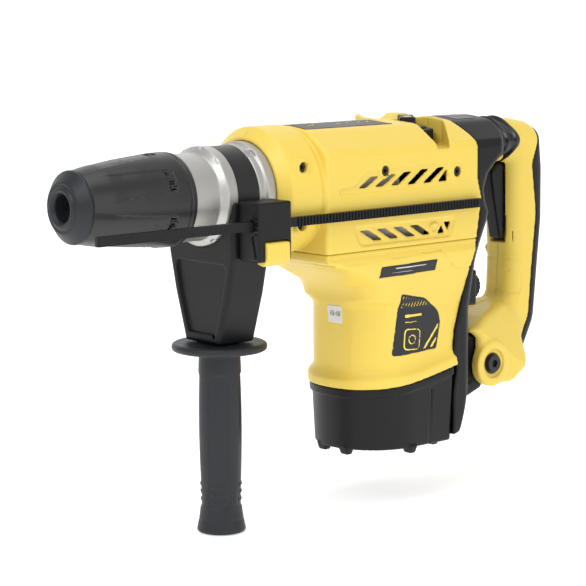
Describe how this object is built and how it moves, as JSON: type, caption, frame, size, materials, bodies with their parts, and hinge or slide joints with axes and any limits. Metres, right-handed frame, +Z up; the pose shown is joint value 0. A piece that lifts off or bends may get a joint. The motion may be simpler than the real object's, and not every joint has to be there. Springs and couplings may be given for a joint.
{
  "type": "combination demolition hammer",
  "caption": "Electric combination and demolition hammer with a slotted-shank chuck, upright motor, cushioned D-handle and clamp-on side handle with depth rod.",
  "frame": {"origin": "on the tool axis at the front mouth of the steel tool holder", "axes": "+X out of the chuck along the tool axis, +Z up, +Y to the operator's left"},
  "size_m": [0.462, 0.1084, 0.2879],
  "materials": {
    "yellow_shell": "satin moulded plastic",
    "black_shell": "fine-grained moulded plastic",
    "soft_grip": "soft overmould",
    "dark_rubber": "matt rubber",
    "alloy": "satin cast and turned",
    "steel": "ground",
    "winding_copper": "varnished copper",
    "carbon": "pressed carbon",
    "brass": "stamped"
  },
  "bodies": {
    "machine": {"neck_barrel": "alloy", "spindle_bearing": "steel", "gear_case": "alloy", "gear_case_lid": "alloy", "gear_case_screws": "steel", "gearbox_bearings": "steel", "motor_bearings": "steel", "stator_core": "steel", "field_coils": "winding_copper", "brush_holders": "brass", "carbon_brushes": "carbon", "upper_cover_left": "yellow_shell", "upper_cover_right": "yellow_shell", "cover_screws": "steel", "motor_housing": "yellow_shell", "motor_end_cap": "black_shell", "end_cap_screws": "steel", "rear_housing": "black_shell", "bellows": "dark_rubber"},
    "spindle": {"tool_holder": "steel", "locking_rollers": "steel", "hammer_tube": "steel", "bevel_ring_gear": "steel", "dust_cap": "dark_rubber", "sleeve_spring": "steel"},
    "sleeve": {"lock_sleeve": "black_shell"},
    "rotor": {"armature_shaft": "steel", "rotor_core": "steel", "armature_windings": "winding_copper", "commutator": "winding_copper", "cooling_fan": "black_shell"},
    "crank": {"crankshaft": "steel", "crank_gear": "steel"},
    "intermediate": {"intermediate_gear": "steel", "bevel_pinion": "steel"},
    "piston": {"piston": "alloy", "piston_pin": "steel", "piston_ring": "dark_rubber"},
    "conrod": {"connecting_rod": "steel"},
    "ram": {"ram": "steel", "ram_ring": "dark_rubber"},
    "striker": {"beat_piece": "steel"},
    "handle": {"handle_shell_left": "yellow_shell", "handle_shell_right": "yellow_shell", "handle_grip": "soft_grip", "handle_screws": "steel", "switch_body": "black_shell", "cord_gland": "dark_rubber", "pivot_bolt": "steel"},
    "trigger": {"trigger": "black_shell"},
    "dial": {"speed_dial": "black_shell"},
    "knob": {"selector_knob": "black_shell"},
    "knob_button": {"selector_button": "brass"},
    "side_handle": {"clamp_band": "black_shell", "handle_bracket": "black_shell", "stop_block": "black_shell"},
    "grip": {"side_grip": "soft_grip", "clamp_bolt": "steel"},
    "depth_rod": {"depth_rod": "black_shell"},
    "latch": {"depth_latch": "yellow_shell"}
  },
  "joints": [
    {"name": "motor_spin", "type": "hinge", "parent": "machine", "child": "rotor", "pos_m": [-0.27, 0, -0.1], "axis": [0, 0, 1], "continuous": true},
    {"name": "crank_spin", "type": "hinge", "parent": "machine", "child": "crank", "pos_m": [-0.23875, 0, -0.03], "axis": [0, 0, 1], "continuous": true},
    {"name": "intermediate_spin", "type": "hinge", "parent": "machine", "child": "intermediate", "pos_m": [-0.19875, 0, -0.03], "axis": [0, 0, 1], "continuous": true},
    {"name": "spindle_spin", "type": "hinge", "parent": "machine", "child": "spindle", "pos_m": [0, 0, 0], "axis": [1, 0, 0], "continuous": true},
    {"name": "piston_slide", "type": "slide", "parent": "machine", "child": "piston", "axis": [1, 0, 0], "range_m": [0, 0.024]},
    {"name": "conrod_swing", "type": "hinge", "parent": "piston", "child": "conrod", "pos_m": [-0.20475, 0, 0], "axis": [0, 0, 1], "range_deg": [-15, 15]},
    {"name": "ram_slide", "type": "slide", "parent": "machine", "child": "ram", "axis": [1, 0, 0], "range_m": [0, 0.006]},
    {"name": "striker_slide", "type": "slide", "parent": "machine", "child": "striker", "axis": [1, 0, 0], "range_m": [0, 0.006]},
    {"name": "sleeve_slide", "type": "slide", "parent": "spindle", "child": "sleeve", "axis": [-1, 0, 0], "range_m": [0, 0.012], "stiffness_N_per_m": 1500, "springref_m": -0.01, "deforming": ["sleeve_spring"]},
    {"name": "handle_swing", "type": "hinge", "parent": "machine", "child": "handle", "pos_m": [-0.365, 0, -0.145], "axis": [0, 1, 0], "range_deg": [-1, 2.5], "stiffness_Nm_per_rad": 400, "deforming": ["bellows"]},
    {"name": "trigger_pull", "type": "hinge", "parent": "handle", "child": "trigger", "pos_m": [-0.398, 0, -0.003], "axis": [0, 1, 0], "range_deg": [0, 7], "stiffness_Nm_per_rad": 3, "springref_deg": -11.46},
    {"name": "dial_turn", "type": "hinge", "parent": "machine", "child": "dial", "pos_m": [-0.351, 0.02, -0.085], "axis": [0, 1, 0], "range_deg": [-140, 140]},
    {"name": "selector_turn", "type": "hinge", "parent": "machine", "child": "knob", "pos_m": [-0.305, 0, 0.03], "axis": [0, 0, 1], "range_deg": [0, 180]},
    {"name": "selector_button_press", "type": "slide", "parent": "knob", "child": "knob_button", "axis": [0, 0, -1], "range_m": [0, 0.001], "stiffness_N_per_m": 400, "springref_m": -0.002},
    {"name": "side_handle_turn", "type": "hinge", "parent": "machine", "child": "side_handle", "pos_m": [-0.1222, 0, 0], "axis": [1, 0, 0], "range_deg": [-2, 36]},
    {"name": "grip_screw_turn", "type": "hinge", "parent": "side_handle", "child": "grip", "pos_m": [-0.1222, 0, -0.17], "axis": [0, 0, 1], "continuous": true},
    {"name": "depth_rod_slide", "type": "slide", "parent": "side_handle", "child": "depth_rod", "axis": [1, 0, 0], "range_m": [-0.012, 0.15]},
    {"name": "latch_press", "type": "slide", "parent": "side_handle", "child": "latch", "axis": [0, -1, 0], "range_m": [0, 0.003], "stiffness_N_per_m": 800, "springref_m": -0.002}
  ],
  "couplings": [
    {"joint": "crank_spin", "follows": "motor_spin", "ratio": -0.25},
    {"joint": "intermediate_spin", "follows": "motor_spin", "ratio": 0.41667},
    {"joint": "spindle_spin", "follows": "motor_spin", "ratio": 0.11905}
  ]
}
